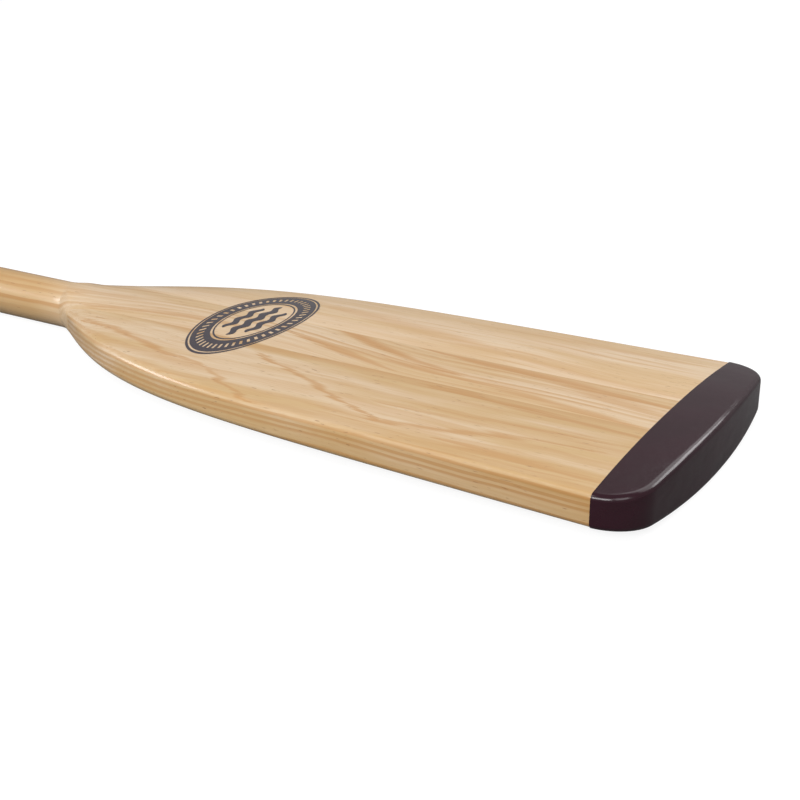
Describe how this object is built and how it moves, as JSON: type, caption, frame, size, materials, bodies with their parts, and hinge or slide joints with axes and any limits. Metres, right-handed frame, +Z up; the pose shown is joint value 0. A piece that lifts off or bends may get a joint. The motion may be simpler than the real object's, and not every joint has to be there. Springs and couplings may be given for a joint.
{
  "type": "single-blade paddle",
  "caption": "Laminated wooden single-blade paddle with a round shaft, palm grip, crowned blade and dark dipped tip guard, for a canoe, kayak or small boat.",
  "frame": {"origin": "under the middle of the bounding box, on the plane the paddle lies on", "axes": "+X along the paddle from the grip to the blade tip, +Y across the blade, +Z up, normal to the blade face"},
  "size_m": [1.372, 0.1848, 0.0282],
  "materials": {
    "centre_board": "clear gloss varnish",
    "near_blade_board": "clear gloss varnish",
    "far_blade_board": "clear gloss varnish",
    "near_grip_cheek": "clear gloss varnish",
    "far_grip_cheek": "clear gloss varnish",
    "tip_guard": "glossy dipped coat",
    "oval_mark": "printed ink under clear varnish"
  },
  "bodies": {
    "root": {"centre_board": "centre_board", "near_blade_board": "near_blade_board", "far_blade_board": "far_blade_board", "near_grip_cheek": "near_grip_cheek", "far_grip_cheek": "far_grip_cheek", "tip_guard": "tip_guard", "oval_mark": "oval_mark"}
  },
  "joints": []
}
